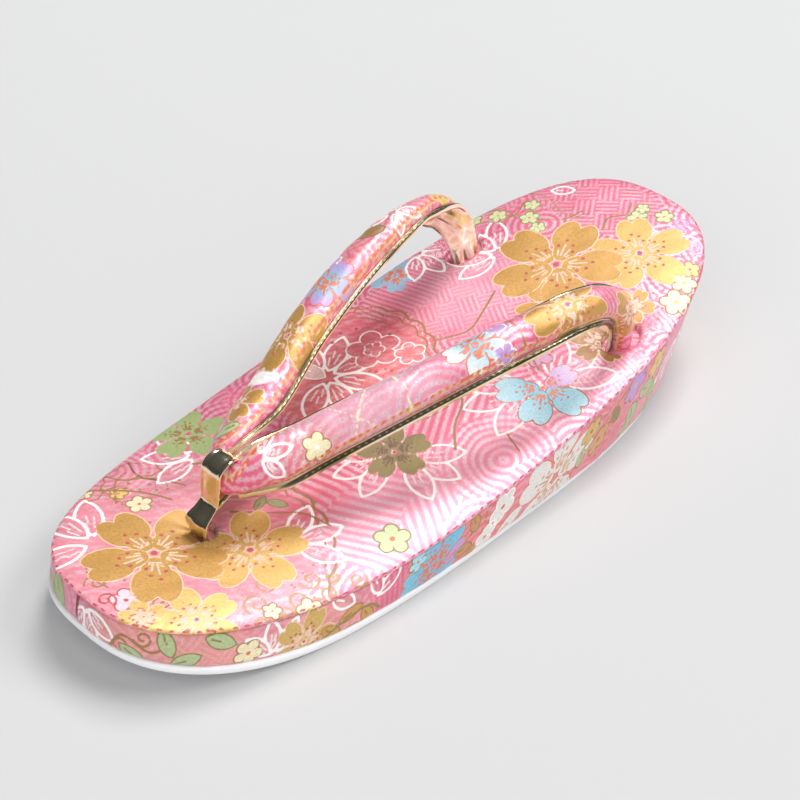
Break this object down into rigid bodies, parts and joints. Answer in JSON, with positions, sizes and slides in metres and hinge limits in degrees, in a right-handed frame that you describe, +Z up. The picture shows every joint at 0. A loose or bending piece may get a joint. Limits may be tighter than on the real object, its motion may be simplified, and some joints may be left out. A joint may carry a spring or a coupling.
{
  "type": "zori sandal",
  "caption": "Flat-bottomed wedge zori sandal with a padded brocade footbed and a V strap that a gilt loop holds between the toes.",
  "frame": {"origin": "centre of the sandal's outline on the floor", "axes": "+Z up, the toe towards -Y and the heel towards +Y, +X to the wearer's left"},
  "size_m": [0.086, 0.2115, 0.0498],
  "materials": {
    "brocade": "pink satin brocade with gold, white and blue blossoms",
    "strap_brocade": "pink satin brocade over padding",
    "gilt_leather": "gilt, near mirror gloss",
    "outsole_white": "matt white"
  },
  "bodies": {
    "root": {"outsole": "outsole_white", "midsole": "brocade", "footbed": "brocade", "strap": "strap_brocade", "strap_lining_right": "gilt_leather", "strap_lining_left": "gilt_leather", "front_loop": "gilt_leather"}
  },
  "joints": []
}
